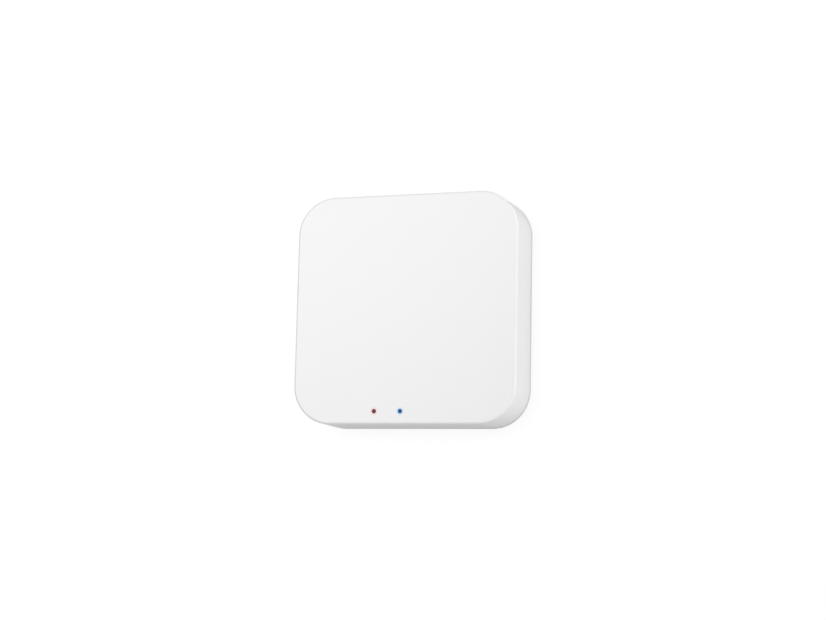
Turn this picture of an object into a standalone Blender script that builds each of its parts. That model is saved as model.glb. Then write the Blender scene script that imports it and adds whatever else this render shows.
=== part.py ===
"""Smart home hub: a flat square wireless gateway with two indicator lights, a micro-USB inlet and a reset button.

Run it with: blender --background --python part.py

The hub lies on its rubber feet. +Z points out of the front face, +Y towards the side with the inlet and the reset
button, and the origin is on the table under the middle of the hub. Lengths are in metres, written as millimetres
times MM.
"""

import math

import bmesh
import bpy
from mathutils import Matrix, Vector

MM = 0.001

# ---------------------------------------------------------------- driving dimensions

# Enclosure
BODY_WIDTH = 60.0 * MM
HUB_HEIGHT = 16.0 * MM
FOOT_STANDOFF = 0.8 * MM
CORNER_RADIUS = 10.0 * MM
WALL = 1.6 * MM
DRAFT = math.radians(1.0)
FRONT_FILLET = 0.5 * MM
INSIDE_FILLET = 0.5 * MM
REAR_FILLET = 0.8 * MM
PARTING_Z = 2.2 * MM
PARTING_GAP = 0.5 * MM
SEAT = 0.05 * MM  # between two pieces that touch

# Snap fit between the two shells
LIP_CLEARANCE = 0.15 * MM
LIP_THICKNESS = 0.8 * MM
LIP_HEIGHT = 1.9 * MM
HOOK_WIDTH = 5.0 * MM
HOOK_DEPTH = 0.45 * MM
HOOK_OFFSET = 15.0 * MM  # along each side, either way from its middle
HOOK_SLIT = 0.8 * MM

# Main board, held under the front shell's bosses by four screws
BOARD_WIDTH = 55.2 * MM
BOARD_THICKNESS = 1.2 * MM
BOARD_BOTTOM = 5.4 * MM
BOARD_CORNER = 8.5 * MM
BOSS_OFFSET = 20.0 * MM
BOSS_RADIUS = 2.5 * MM
SCREW_SHANK_RADIUS = 0.95 * MM
SCREW_HEAD_RADIUS = 1.9 * MM
SCREW_HEAD_HEIGHT = 1.3 * MM
SCREW_LENGTH = 6.0 * MM

# Indicator lights
LIGHT_Y = -26.45 * MM
RED_X = -7.55 * MM
BLUE_X = -0.55 * MM
LIGHT_RADIUS = 0.55 * MM

# Feet and label
FOOT_RADIUS = 4.0 * MM
FOOT_RECESS = 0.6 * MM
FOOT_OFFSET = 21.0 * MM
LABEL_SIZE = (38.0 * MM, 24.0 * MM)
LABEL_RECESS = 0.2 * MM

# Micro-USB inlet, in the middle of the +Y side
INLET_WIDTH = 7.5 * MM
INLET_HEIGHT = 2.6 * MM
INLET_DEPTH = 5.0 * MM
INLET_MOUTH_Y = 29.3 * MM
INLET_METAL = 0.25 * MM
INLET_WINDOW_MARGIN = 0.6 * MM
CONTACT_COUNT = 5
CONTACT_PITCH = 0.65 * MM

# Reset button and its switch, beside the inlet
RESET_X = 12.5 * MM
RESET_TRAVEL = 0.4 * MM
RESET_RADIUS = 1.5 * MM
SWITCH_SIZE = (6.0 * MM, 3.1 * MM, 3.4 * MM)

# Radio modules
MODULE_LENGTH = 24.0 * MM
MODULE_WIDTH = 16.0 * MM
MODULE_BOARD = 0.8 * MM
CAN_LENGTH = 15.0 * MM
CAN_WIDTH = 13.0 * MM
CAN_HEIGHT = 2.3 * MM
CAN_METAL = 0.2 * MM

# ---------------------------------------------------------------- worked-out positions

HALF_WIDTH = BODY_WIDTH / 2
SHELL_BOTTOM = PARTING_Z + PARTING_GAP
PLATE_TOP = FOOT_STANDOFF + WALL  # inside face of the rear cover
FRONT_INSIDE = HUB_HEIGHT - WALL  # inside face of the front shell
BOARD_TOP = BOARD_BOTTOM + BOARD_THICKNESS
ON_BOARD = BOARD_TOP + SEAT  # underside of whatever stands on the board
LIP_OUTER = HALF_WIDTH - WALL - LIP_CLEARANCE
LIP_TOP = PARTING_Z + LIP_HEIGHT
RESET_Z = ON_BOARD + SWITCH_SIZE[2] / 2

ALONG_X = (0.0, math.radians(90), 0.0)
ALONG_Y = (math.radians(-90), 0.0, 0.0)
SIDES = range(4)
CORNERS = ((-1, -1), (1, -1), (1, 1), (-1, 1))


def wall_half_width(z):
    """Half the width of the front shell's drafted outside at a height."""
    return HALF_WIDTH - (z - SHELL_BOTTOM) * math.tan(DRAFT)


# ---------------------------------------------------------------- scene and materials


def clear_scene():
    for obj in list(bpy.data.objects):
        bpy.data.objects.remove(obj, do_unlink=True)


def new_collection(name, helper=False):
    collection = bpy.data.collections.new(name)
    bpy.context.scene.collection.children.link(collection)
    collection.hide_render = helper
    return collection


def new_material(name, colour, roughness, metallic=0.0):
    material = bpy.data.materials.new(name)
    material.use_nodes = True
    shader = material.node_tree.nodes["Principled BSDF"]
    shader.inputs["Base Color"].default_value = (*colour, 1.0)
    shader.inputs["Roughness"].default_value = roughness
    shader.inputs["Metallic"].default_value = metallic
    return material


clear_scene()
HUB = new_collection("smart_home_hub")
CUTTERS = new_collection("cutters", helper=True)

WHITE_PLASTIC = new_material("white_plastic", (0.86, 0.86, 0.85), 0.45)
GREY_RUBBER = new_material("grey_rubber", (0.45, 0.45, 0.45), 0.80)
LABEL_FILM = new_material("label_film", (0.80, 0.80, 0.80), 0.50)
RED_LENS = new_material("red_lens", (0.75, 0.02, 0.03), 0.20)
BLUE_LENS = new_material("blue_lens", (0.01, 0.10, 0.65), 0.20)
LED_BODY = new_material("led_body", (0.90, 0.88, 0.75), 0.30)
GREEN_BOARD = new_material("green_board", (0.02, 0.20, 0.08), 0.40)
BLACK_BOARD = new_material("black_board", (0.02, 0.02, 0.025), 0.40)
BLACK_PLASTIC = new_material("black_plastic", (0.03, 0.03, 0.03), 0.50)
STEEL = new_material("steel", (0.62, 0.62, 0.64), 0.30, 1.0)
GOLD = new_material("gold", (0.83, 0.62, 0.25), 0.30, 1.0)
ALUMINIUM = new_material("aluminium", (0.80, 0.80, 0.82), 0.30, 1.0)
CERAMIC = new_material("ceramic", (0.50, 0.38, 0.25), 0.50)

# ---------------------------------------------------------------- modelling tools


def place(name, mesh, material, location=(0, 0, 0), rotation=(0, 0, 0), smooth=False):
    """Makes the object of a mesh in the hub's collection."""
    mesh.materials.append(material)
    if smooth:
        mesh.shade_smooth()
        mesh.set_sharp_from_angle(angle=math.radians(35))
    obj = bpy.data.objects.new(name, mesh)
    HUB.objects.link(obj)
    obj.location = location
    obj.rotation_euler = rotation
    return obj


def mesh_of(bm, name):
    mesh = bpy.data.meshes.new(name)
    bm.to_mesh(mesh)
    bm.free()
    return mesh


def box(name, size, location, material, rotation=(0, 0, 0), bevel=0.0):
    """A cuboid centred on its location, with all its edges rounded if a bevel is given."""
    bm = bmesh.new()
    bmesh.ops.create_cube(bm, size=1.0, matrix=Matrix.Diagonal((*size, 1.0)))
    if bevel:
        bmesh.ops.bevel(
            bm, geom=bm.edges[:], offset=bevel, segments=2, profile=0.5, affect="EDGES"
        )
    return place(name, mesh_of(bm, name), material, location, rotation)


def cylinder(name, radius, length, location, material, rotation=(0, 0, 0), segments=24):
    """A cylinder along its own Z, centred on its location."""
    bm = bmesh.new()
    bmesh.ops.create_cone(
        bm, cap_ends=True, segments=segments, radius1=radius, radius2=radius, depth=length
    )
    return place(name, mesh_of(bm, name), material, location, rotation, smooth=True)


def upright_edges(bm):
    return [e for e in bm.edges if abs(e.verts[0].co.z - e.verts[1].co.z) > 1e-6]


def level_edges(bm, z):
    return [e for e in bm.edges if all(abs(v.co.z - z) < 1e-6 for v in e.verts)]


def slab(name, size, corner, low, high, material, centre=(0, 0), steps=10, **shape):
    """A plate with round upright corners, from height low to high, standing about centre.

    shape may hold narrowing, how far each side leans in by the top, top_fillet and bottom_fillet, the radii of its
    level edges, and open_bottom, which leaves the underside out.
    """
    narrowing = shape.get("narrowing", 0.0)
    height = high - low
    bm = bmesh.new()
    bmesh.ops.create_cube(bm, size=1.0, matrix=Matrix.Diagonal((*size, height, 1.0)))
    for vert in bm.verts:
        if vert.co.z > 0:
            vert.co.x -= math.copysign(narrowing, vert.co.x)
            vert.co.y -= math.copysign(narrowing, vert.co.y)
    bmesh.ops.bevel(
        bm,
        geom=upright_edges(bm),
        offset=corner,
        segments=steps,
        profile=0.5,
        affect="EDGES",
    )
    for radius, z in (
        (shape.get("top_fillet"), height / 2),
        (shape.get("bottom_fillet"), -height / 2),
    ):
        if radius:
            bmesh.ops.bevel(
                bm,
                geom=level_edges(bm, z),
                offset=radius,
                segments=3,
                profile=0.5,
                affect="EDGES",
            )
    if shape.get("open_bottom"):
        lowest = min(bm.faces, key=lambda face: face.calc_center_median().z)
        bmesh.ops.delete(bm, geom=[lowest], context="FACES_ONLY")
    location = (*centre, (low + high) / 2)
    return place(name, mesh_of(bm, name), material, location, smooth=True)


def prism(name, outline, depth, location, material, rotation=(0, 0, 0)):
    """A flat outline in its own XY plane, given a thickness along its own Z and centred on its location."""
    curve = bpy.data.curves.new(name, "CURVE")
    curve.dimensions = "2D"
    curve.fill_mode = "BOTH"
    curve.extrude = depth / 2
    spline = curve.splines.new("POLY")
    spline.points.add(len(outline) - 1)
    for point, (x, y) in zip(spline.points, outline):
        point.co = (x, y, 0.0, 1.0)
    spline.use_cyclic_u = True
    guide = bpy.data.objects.new(name + "_outline", curve)
    HUB.objects.link(guide)
    graph = bpy.context.evaluated_depsgraph_get()
    mesh = bpy.data.meshes.new_from_object(guide.evaluated_get(graph))
    bpy.data.objects.remove(guide, do_unlink=True)
    bm = bmesh.new()
    bm.from_mesh(mesh)
    bmesh.ops.remove_doubles(bm, verts=bm.verts[:], dist=1e-6)
    bm.to_mesh(mesh)
    bm.free()
    return place(name, mesh, material, location, rotation)


def turned(name, profile, location, material, rotation=(0, 0, 0), steps=24):
    """A solid of revolution about its own Z. The profile's (radius, height) points run from the top to the bottom."""
    mesh = bpy.data.meshes.new(name)
    points = [(radius, 0.0, height) for radius, height in profile]
    mesh.from_pydata(points, [(i, i + 1) for i in range(len(points) - 1)], [])
    obj = place(name, mesh, material, location, rotation)
    screw = obj.modifiers.new("turn", "SCREW")
    screw.axis = "Z"
    screw.steps = screw.render_steps = steps
    screw.use_merge_vertices = True
    screw.merge_threshold = 1e-6
    screw.use_smooth_shade = True
    return obj


def arc(centre, radius, start, end, steps):
    """Points of an arc in the plane, from one angle to another, in degrees."""
    angles = [math.radians(start + (end - start) * i / steps) for i in range(steps + 1)]
    return [
        (centre[0] + radius * math.cos(a), centre[1] + radius * math.sin(a))
        for a in angles
    ]


def shell_modifier(obj, thickness):
    """Gives an open surface its wall, on the inside."""
    solidify = obj.modifiers.new("wall", "SOLIDIFY")
    solidify.thickness = thickness
    solidify.offset = -1.0
    solidify.use_even_offset = True


def combine(obj, others, operation):
    """Adds the other shapes to obj, or cuts them from it, and keeps them as helpers."""
    for other in others:
        HUB.objects.unlink(other)
        CUTTERS.objects.link(other)
        other.hide_render = True
        other.display_type = "WIRE"
        boolean = obj.modifiers.new(operation.lower(), "BOOLEAN")
        boolean.operation = operation
        boolean.object = other
        boolean.solver = "EXACT"


def add_to(obj, *others):
    combine(obj, others, "UNION")


def cut_from(obj, *others):
    combine(obj, others, "DIFFERENCE")


def on_side(side, along, out, z):
    """The point at a distance along one of the four sides and out from the middle, side 0 being the -Y one."""
    turn = Matrix.Rotation(math.radians(90 * side), 4, "Z")
    return turn @ Vector((along, -out, z))


def hook_places():
    """(side, distance along it) of each snap hook."""
    return [(side, way * HOOK_OFFSET) for side in SIDES for way in (-1, 1)]


# ---------------------------------------------------------------- enclosure


def make_front_shell():
    """Cup-shaped front of the case: front plate, drafted walls, screw bosses and sleeves for the light pipes."""
    shell = slab(
        "front_shell",
        (BODY_WIDTH, BODY_WIDTH),
        CORNER_RADIUS,
        SHELL_BOTTOM,
        HUB_HEIGHT,
        WHITE_PLASTIC,
        narrowing=HALF_WIDTH - wall_half_width(HUB_HEIGHT),
        top_fillet=FRONT_FILLET,
    )
    mouth = SHELL_BOTTOM - MM
    mouth_half = wall_half_width(mouth) - WALL
    hollow = slab(
        "shell_hollow",
        (2 * mouth_half, 2 * mouth_half),
        CORNER_RADIUS - WALL,
        mouth,
        FRONT_INSIDE,
        WHITE_PLASTIC,
        narrowing=wall_half_width(mouth) - wall_half_width(FRONT_INSIDE),
        top_fillet=INSIDE_FILLET,
    )
    cut_from(shell, hollow)
    add_to(shell, *(boss(i, x, y) for i, (x, y) in enumerate(CORNERS)))
    add_to(shell, *(sleeve(name, x) for name, x in light_places()))
    cut_from(shell, *(pilot_hole(i, x, y) for i, (x, y) in enumerate(CORNERS)))
    for name, x in light_places():
        cut_from(shell, *light_holes(name, x))
    cut_from(shell, inlet_window(), reset_hole())
    cut_from(shell, *(hook_pocket(side, along) for side, along in hook_places()))


def boss(index, x, y):
    """A post from the front plate down to the board, which a board screw bites into."""
    low, high = BOARD_TOP + SEAT, FRONT_INSIDE + WALL / 2
    centre = (x * BOSS_OFFSET, y * BOSS_OFFSET, (low + high) / 2)
    return cylinder(f"boss_{index}", BOSS_RADIUS, high - low, centre, WHITE_PLASTIC)


def pilot_hole(index, x, y):
    depth = SCREW_LENGTH - BOARD_THICKNESS
    low, high = BOARD_BOTTOM, BOARD_TOP + depth + 0.5 * MM
    centre = (x * BOSS_OFFSET, y * BOSS_OFFSET, (low + high) / 2)
    radius = SCREW_SHANK_RADIUS + SEAT
    return cylinder(f"pilot_{index}", radius, high - low, centre, WHITE_PLASTIC, segments=16)


def light_places():
    return (("red", RED_X), ("blue", BLUE_X))


PIPE_COLLAR_RADIUS = 1.2 * MM
PIPE_COLLAR_TOP = FRONT_INSIDE - SEAT
PIPE_COLLAR_HEIGHT = 1.0 * MM
PIPE_SHAFT_RADIUS = 0.8 * MM
PIPE_GAP_TO_LED = 0.25 * MM
SLEEVE_WALL = 0.7 * MM
SLEEVE_LENGTH = 3.5 * MM
LED_HEIGHT = 0.6 * MM


def sleeve(name, x):
    low, high = FRONT_INSIDE - SLEEVE_LENGTH, FRONT_INSIDE + WALL / 2
    radius = PIPE_COLLAR_RADIUS + SEAT + SLEEVE_WALL
    centre = (x, LIGHT_Y, (low + high) / 2)
    return cylinder(f"sleeve_{name}", radius, high - low, centre, WHITE_PLASTIC)


def light_holes(name, x):
    """The wide bore of a sleeve, and the fine hole through the front plate."""
    low, high = FRONT_INSIDE - SLEEVE_LENGTH - MM, FRONT_INSIDE
    bore = cylinder(
        f"bore_{name}",
        PIPE_COLLAR_RADIUS + SEAT,
        high - low,
        (x, LIGHT_Y, (low + high) / 2),
        WHITE_PLASTIC,
    )
    eye = cylinder(
        f"eye_{name}",
        LIGHT_RADIUS + SEAT,
        2 * WALL + MM,
        (x, LIGHT_Y, FRONT_INSIDE + WALL / 2),
        WHITE_PLASTIC,
        segments=20,
    )
    return bore, eye


def inlet_window():
    """The rounded window in the +Y wall that the inlet shows through."""
    width = INLET_WIDTH + 2 * INLET_WINDOW_MARGIN
    height = INLET_HEIGHT + 2 * INLET_WINDOW_MARGIN
    radius = 1.0 * MM
    corners = (
        (width / 2 - radius, height / 2 - radius, 0),
        (radius - width / 2, height / 2 - radius, 90),
        (radius - width / 2, radius - height / 2, 180),
        (width / 2 - radius, radius - height / 2, 270),
    )
    outline = [p for x, y, a in corners for p in arc((x, y), radius, a, a + 90, 4)]
    centre = (0, HALF_WIDTH, ON_BOARD + INLET_HEIGHT / 2)
    return prism("inlet_window", outline, 4 * WALL, centre, WHITE_PLASTIC, ALONG_Y)


def reset_hole():
    radius = RESET_RADIUS + 0.15 * MM
    centre = (RESET_X, HALF_WIDTH, RESET_Z)
    return cylinder("reset_hole", radius, 4 * WALL, centre, WHITE_PLASTIC, ALONG_Y, 28)


HOOK_LOW = LIP_TOP - 0.95 * MM
POCKET_CLEARANCE = 0.15 * MM


def hook_pocket(side, along):
    """A recess inside the wall that a snap hook catches in."""
    depth = LIP_CLEARANCE + HOOK_DEPTH + POCKET_CLEARANCE
    size = (HOOK_WIDTH + 2 * POCKET_CLEARANCE, depth + MM, 1.3 * MM)
    out = LIP_OUTER + depth - size[1] / 2
    centre = on_side(side, along, out, HOOK_LOW + 0.5 * MM)
    rotation = (0, 0, math.radians(90 * side))
    return box(f"pocket_{side}_{along:.3f}", size, centre, WHITE_PLASTIC, rotation)


def make_rear_cover():
    """Rear plate with its rim, a lip that fits inside the front shell, eight snap hooks and two ribs under the inlet."""
    cover = slab(
        "rear_cover",
        (BODY_WIDTH, BODY_WIDTH),
        CORNER_RADIUS,
        FOOT_STANDOFF,
        PARTING_Z,
        WHITE_PLASTIC,
        bottom_fillet=REAR_FILLET,
    )
    lip_corner = CORNER_RADIUS - WALL - LIP_CLEARANCE
    lip = slab(
        "lip",
        (2 * LIP_OUTER, 2 * LIP_OUTER),
        lip_corner,
        PARTING_Z - WALL / 4,
        LIP_TOP,
        WHITE_PLASTIC,
    )
    pocket_half = LIP_OUTER - LIP_THICKNESS
    pocket = slab(
        "pocket",
        (2 * pocket_half, 2 * pocket_half),
        lip_corner - LIP_THICKNESS,
        PLATE_TOP,
        LIP_TOP + MM,
        WHITE_PLASTIC,
    )
    add_to(cover, lip)
    cut_from(cover, pocket)
    add_to(cover, *(snap_hook(side, along) for side, along in hook_places()))
    cut_from(cover, *(hook_slit(*place_, way) for place_ in hook_places() for way in (-1, 1)))
    add_to(cover, *(board_rib(way) for way in (-1, 1)))
    cut_from(cover, *(foot_recess(i, x, y) for i, (x, y) in enumerate(CORNERS)))
    cut_from(cover, label_recess())


def snap_hook(side, along):
    """A barb on the lip: it slopes at the top, to slide in, and is square below, to catch."""
    root = -0.3 * MM
    outline = (
        (root, 0.0),
        (HOOK_DEPTH, 0.0),
        (HOOK_DEPTH, 0.25 * MM),
        (0.05 * MM, 0.85 * MM),
        (root, 0.85 * MM),
    )
    centre = on_side(side, along, LIP_OUTER, HOOK_LOW)
    rotation = (math.radians(90), 0, math.radians(90 * side - 90))
    name = f"hook_{side}_{along:.3f}"
    return prism(name, outline, HOOK_WIDTH, centre, WHITE_PLASTIC, rotation)


def hook_slit(side, along, way):
    """A slit in the lip beside a hook, which lets the hook bend inwards."""
    size = (HOOK_SLIT, 3 * LIP_THICKNESS, LIP_HEIGHT)
    along += way * (HOOK_WIDTH / 2 + HOOK_SLIT)
    centre = on_side(side, along, LIP_OUTER - LIP_THICKNESS / 2, LIP_TOP - 0.3 * MM)
    rotation = (0, 0, math.radians(90 * side))
    return box(f"slit_{side}_{along:.3f}", size, centre, WHITE_PLASTIC, rotation)


def board_rib(way):
    """A rib that carries the board under the inlet when a plug is pushed in."""
    low, high = PLATE_TOP - WALL / 2, BOARD_BOTTOM - SEAT
    size = (1.0 * MM, 8.0 * MM, high - low)
    centre = (way * 2.5 * MM, 22.0 * MM, (low + high) / 2)
    return box(f"rib_{way}", size, centre, WHITE_PLASTIC)


def foot_recess(index, x, y):
    radius = FOOT_RADIUS + 0.1 * MM
    low, high = 0.0, FOOT_STANDOFF + FOOT_RECESS
    centre = (x * FOOT_OFFSET, y * FOOT_OFFSET, (low + high) / 2)
    return cylinder(f"foot_recess_{index}", radius, high - low, centre, WHITE_PLASTIC)


def label_recess():
    low, high = 0.0, FOOT_STANDOFF + LABEL_RECESS
    size = tuple(side + 0.4 * MM for side in LABEL_SIZE)
    return slab("label_recess", size, 1.5 * MM, low, high, WHITE_PLASTIC, steps=3)


def make_feet():
    """Four round rubber pads in their recesses."""
    edge = 0.4 * MM
    height = FOOT_STANDOFF + FOOT_RECESS - SEAT
    profile = [(0.0, height), (FOOT_RADIUS, height)]
    profile += arc((FOOT_RADIUS - edge, edge), edge, 0, -90, 3)
    profile.append((0.0, 0.0))
    for index, (x, y) in enumerate(CORNERS, start=1):
        centre = (x * FOOT_OFFSET, y * FOOT_OFFSET, 0.0)
        turned(f"rubber_foot_{index}", profile, centre, GREY_RUBBER)


def make_label():
    low = FOOT_STANDOFF + SEAT / 2
    high = FOOT_STANDOFF + LABEL_RECESS - SEAT
    slab("rear_label", LABEL_SIZE, 1.3 * MM, low, high, LABEL_FILM, steps=3)


# ---------------------------------------------------------------- lights


def make_lights():
    """An LED on the board under each light pipe. A pipe's collar sits in its sleeve, against the front plate."""
    led_size = (1.6 * MM, 0.8 * MM, LED_HEIGHT)
    lenses = {"red": RED_LENS, "blue": BLUE_LENS}
    for name, x in light_places():
        centre = (x, LIGHT_Y, ON_BOARD + LED_HEIGHT / 2)
        box(f"{name}_led", led_size, centre, LED_BODY)
        foot = ON_BOARD + LED_HEIGHT + PIPE_GAP_TO_LED
        collar_bottom = PIPE_COLLAR_TOP - PIPE_COLLAR_HEIGHT
        profile = (
            (0.0, HUB_HEIGHT),
            (LIGHT_RADIUS, HUB_HEIGHT),
            (LIGHT_RADIUS, PIPE_COLLAR_TOP),
            (PIPE_COLLAR_RADIUS, PIPE_COLLAR_TOP),
            (PIPE_COLLAR_RADIUS, collar_bottom),
            (PIPE_SHAFT_RADIUS, collar_bottom),
            (PIPE_SHAFT_RADIUS, foot),
            (0.0, foot),
        )
        turned(f"{name}_light_pipe", profile, (x, LIGHT_Y, 0), lenses[name], steps=20)


# ---------------------------------------------------------------- board and its screws


def make_main_board():
    board = slab(
        "main_board",
        (BOARD_WIDTH, BOARD_WIDTH),
        BOARD_CORNER,
        BOARD_BOTTOM,
        BOARD_TOP,
        GREEN_BOARD,
        steps=6,
    )
    for index, (x, y) in enumerate(CORNERS):
        hole = cylinder(
            f"board_hole_{index}",
            1.2 * MM,
            3 * BOARD_THICKNESS,
            (x * BOSS_OFFSET, y * BOSS_OFFSET, BOARD_BOTTOM),
            GREEN_BOARD,
            segments=16,
        )
        cut_from(board, hole)
    notch_size = (2 * BUTTON_FLANGE_RADIUS + MM, 3.0 * MM, 3 * BOARD_THICKNESS)
    notch_centre = (RESET_X, BOARD_WIDTH / 2 + 0.6 * MM, BOARD_BOTTOM)
    cut_from(board, box("button_notch", notch_size, notch_centre, GREEN_BOARD))


def make_board_screws():
    """Pan-head screws from the rear, through the board and into the bosses, each with a cross recess."""
    dome = 0.5 * MM
    tip = SCREW_LENGTH - 0.8 * MM
    profile = (
        (0.0, SCREW_LENGTH),
        (0.4 * MM, SCREW_LENGTH),
        (SCREW_SHANK_RADIUS, tip),
        (SCREW_SHANK_RADIUS, 0.0),
        (SCREW_HEAD_RADIUS, 0.0),
        (SCREW_HEAD_RADIUS, dome - SCREW_HEAD_HEIGHT),
        (SCREW_HEAD_RADIUS - dome, -SCREW_HEAD_HEIGHT),
        (0.0, -SCREW_HEAD_HEIGHT),
    )
    slot = (0.45 * MM, 2.2 * MM, 1.4 * MM)
    for index, (x, y) in enumerate(CORNERS, start=1):
        centre = Vector((x * BOSS_OFFSET, y * BOSS_OFFSET, BOARD_BOTTOM - SEAT))
        screw = turned(f"board_screw_{index}", profile, centre, STEEL, steps=20)
        recess = centre - Vector((0, 0, SCREW_HEAD_HEIGHT))
        for angle in (0, 90):
            rotation = (0, 0, math.radians(angle))
            name = f"cross_{index}_{angle}"
            cut_from(screw, box(name, slot, recess, STEEL, rotation))


# ---------------------------------------------------------------- micro-USB inlet


def inlet_outline(inset):
    """The inlet's outline across its axis: wide at the top, with its lower corners cut off."""
    half, height, slope = INLET_WIDTH / 2 - inset, INLET_HEIGHT / 2 - inset, 1.0 * MM
    cut = slope - 0.4 * inset
    return (
        (-half, height),
        (-half, cut - height),
        (cut - half, -height),
        (half - cut, -height),
        (half, cut - height),
        (half, height),
    )


TONGUE_THICKNESS = 0.6 * MM
CONTACT_THICKNESS = 0.12 * MM
CONTACT_WIDTH = 0.35 * MM


def make_inlet():
    """Metal shell, the moulding with its tongue, and the five contact strips that run under the tongue."""
    middle_z = ON_BOARD + INLET_HEIGHT / 2
    rear_y = INLET_MOUTH_Y - INLET_DEPTH
    # An outline's own +Y turns down when it is laid along Y, so the outlines below are turned half a turn more.
    upright = (math.radians(90), 0.0, math.radians(180))

    centre = (0, INLET_MOUTH_Y - INLET_DEPTH / 2, middle_z)
    shell = prism("usb_shell", inlet_outline(0), INLET_DEPTH, centre, STEEL, upright)
    hollow = inlet_outline(INLET_METAL)
    cut_from(shell, prism("usb_hollow", hollow, 2 * INLET_DEPTH, centre, STEEL, upright))
    for x in (-1, 1):
        low, high = ON_BOARD, middle_z
        size = (0.7 * MM, 1.4 * MM, high - low)
        place_at = (x * INLET_WIDTH / 2, rear_y + 2.0 * MM, (low + high) / 2)
        add_to(shell, box(f"usb_leg_{x}", size, place_at, STEEL))

    roof = middle_z + INLET_HEIGHT / 2 - INLET_METAL - SEAT
    tongue_low = middle_z - 0.05 * MM
    base_width = INLET_WIDTH - 2 * (INLET_METAL + SEAT)
    base_depth = 1.2 * MM
    base_size = (base_width, base_depth, roof - tongue_low)
    base_centre = (0, rear_y + base_depth / 2 + SEAT, (roof + tongue_low) / 2)
    moulding = box("usb_insulator", base_size, base_centre, BLACK_PLASTIC)
    tongue_length = INLET_DEPTH - 1.5 * MM
    tongue_size = (3.7 * MM, tongue_length, TONGUE_THICKNESS)
    tongue_y = rear_y + 0.6 * MM + tongue_length / 2
    tongue_centre = (0, tongue_y, tongue_low + TONGUE_THICKNESS / 2)
    add_to(moulding, box("usb_tongue", tongue_size, tongue_centre, BLACK_PLASTIC))

    for index in range(CONTACT_COUNT):
        x = (index - (CONTACT_COUNT - 1) / 2) * CONTACT_PITCH
        make_contact(index + 1, x, rear_y, tongue_low - SEAT)


def make_contact(number, x, rear_y, top):
    """A strip under the tongue that leaves at the back and steps down to the board. Its outline is a side view."""
    front = INLET_MOUTH_Y - 1.2 * MM
    foot_y = rear_y - 0.9 * MM
    bend_y = rear_y - 0.25 * MM
    drop = top - CONTACT_THICKNESS - ON_BOARD
    thick = CONTACT_THICKNESS
    outline = (
        (front, 0.0),
        (front, -thick),
        (bend_y, -thick),
        (bend_y - thick, -drop - thick),
        (foot_y, -drop - thick),
        (foot_y, -drop),
        (bend_y - 2 * thick, -drop),
        (bend_y - thick, 0.0),
    )
    rotation = (math.radians(90), 0, math.radians(90))
    name = f"usb_contact_{number}"
    prism(name, outline, CONTACT_WIDTH, (x, 0, top), GOLD, rotation)


# ---------------------------------------------------------------- reset button and switch

BUTTON_FLANGE_RADIUS = 2.2 * MM
BUTTON_FLANGE = 0.8 * MM
PLUNGER_RADIUS = 1.0 * MM
PLUNGER_COLLAR_RADIUS = 1.3 * MM
PLUNGER_COLLAR = 0.5 * MM
CHAMBER_RADIUS = 1.45 * MM
SWITCH_FRONT_Y = 25.3 * MM
SWITCH_COVER = 0.25 * MM
PLUNGER_TIP_Y = 26.8 * MM
DOME_RADIUS = 1.35 * MM
DOME_RISE = 0.5 * MM
DOME_METAL = 0.12 * MM


def make_reset_button():
    """The cap, which slides in its hole, and the plunger of the switch that it pushes. Both point along +Y."""
    outside = wall_half_width(RESET_Z)
    flange_front = outside - WALL - SEAT
    tip = PLUNGER_TIP_Y + SEAT
    edge = 0.3 * MM
    reach = outside - tip
    profile = [(0.0, reach)]
    profile += arc((RESET_RADIUS - edge, reach - edge), edge, 90, 0, 3)
    profile += [
        (RESET_RADIUS, flange_front - tip),
        (BUTTON_FLANGE_RADIUS, flange_front - tip),
        (BUTTON_FLANGE_RADIUS, flange_front - tip - BUTTON_FLANGE),
        (PLUNGER_RADIUS, flange_front - tip - BUTTON_FLANGE),
        (PLUNGER_RADIUS, 0.0),
        (0.0, 0.0),
    ]
    on_axis = (RESET_X, tip, RESET_Z)
    turned("reset_button_cap", profile, on_axis, WHITE_PLASTIC, ALONG_Y, steps=28)

    collar_front = SWITCH_FRONT_Y - SEAT - PLUNGER_TIP_Y
    collar_back = collar_front - PLUNGER_COLLAR
    profile = (
        (0.0, 0.0),
        (PLUNGER_RADIUS, 0.0),
        (PLUNGER_RADIUS, collar_front),
        (PLUNGER_COLLAR_RADIUS, collar_front),
        (PLUNGER_COLLAR_RADIUS, collar_back),
        (0.0, collar_back),
    )
    on_axis = (RESET_X, PLUNGER_TIP_Y, RESET_Z)
    turned("reset_switch_plunger", profile, on_axis, BLACK_PLASTIC, ALONG_Y, steps=20)


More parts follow.
